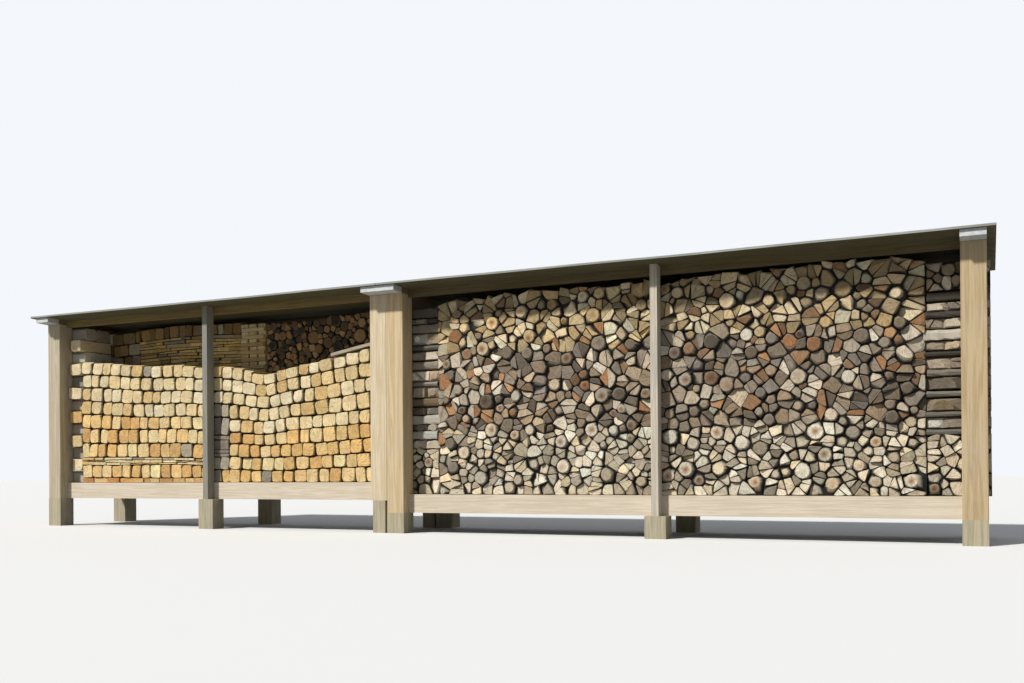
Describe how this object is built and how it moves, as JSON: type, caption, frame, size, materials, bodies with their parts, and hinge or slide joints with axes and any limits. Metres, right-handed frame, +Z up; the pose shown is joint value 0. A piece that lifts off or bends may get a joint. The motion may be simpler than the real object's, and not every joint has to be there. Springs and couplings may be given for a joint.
{
  "type": "log store",
  "caption": "Long open-fronted timber log store in two frames on foot blocks, with a thin sloping roof, bays filled with stacked firewood and crib ends.",
  "frame": {"origin": "on the ground below the middle of the roof", "axes": "+X along the front to the right as seen from the front, +Z up, the open front faces -Y"},
  "size_m": [8.641, 1.32, 2.073],
  "materials": {
    "planed_timber": "planed, pale, lightly weathered",
    "weathered_timber": "sawn, weathered grey",
    "shaded_timber": "sawn, ochre brown",
    "foot_timber": "rough, grey brown",
    "firewood": "split and sawn faces with growth rings"
  },
  "bodies": {
    "root": {"left_frame_left_front_post": "planed_timber", "left_frame_left_back_post": "planed_timber", "left_frame_right_front_post": "planed_timber", "left_frame_right_back_post": "planed_timber", "right_frame_left_front_post": "planed_timber", "right_frame_left_back_post": "planed_timber", "right_frame_right_front_post": "planed_timber", "right_frame_right_back_post": "planed_timber", "left_frame_front_divider": "weathered_timber", "left_frame_back_divider": "weathered_timber", "right_frame_front_divider": "weathered_timber", "right_frame_back_divider": "weathered_timber", "left_end_foot_blocks": "foot_timber", "left_divider_foot_blocks": "foot_timber", "left_inner_foot_blocks": "foot_timber", "right_inner_foot_blocks": "foot_timber", "right_divider_foot_blocks": "foot_timber", "right_end_foot_blocks": "foot_timber", "left_frame_front_rail": "planed_timber", "left_frame_back_rail": "planed_timber", "left_frame_end_rails": "planed_timber", "left_frame_bearers": "foot_timber", "left_frame_floor_boards": "foot_timber", "left_frame_front_eaves_beam": "shaded_timber", "left_frame_back_eaves_beam": "shaded_timber", "left_frame_left_tie_plank": "weathered_timber", "left_frame_right_tie_plank": "weathered_timber", "left_roof_deck": "weathered_timber", "right_frame_front_rail": "planed_timber", "right_frame_back_rail": "planed_timber", "right_frame_end_rails": "planed_timber", "right_frame_bearers": "foot_timber", "right_frame_floor_boards": "foot_timber", "right_frame_front_eaves_beam": "shaded_timber", "right_frame_back_eaves_beam": "shaded_timber", "right_frame_left_tie_plank": "weathered_timber", "right_frame_right_tie_plank": "weathered_timber", "right_roof_deck": "weathered_timber", "left_end_crib": "firewood", "middle_crib": "firewood", "right_end_crib": "firewood", "bay_1_front_stack": "firewood", "bay_1_back_stack": "firewood", "bay_2_front_stack": "firewood", "bay_2_back_stack": "firewood", "bay_3_front_stack": "firewood", "bay_3_back_stack": "firewood", "bay_4_front_stack": "firewood", "bay_4_back_stack": "firewood", "leaning_board": "firewood"}
  },
  "joints": []
}
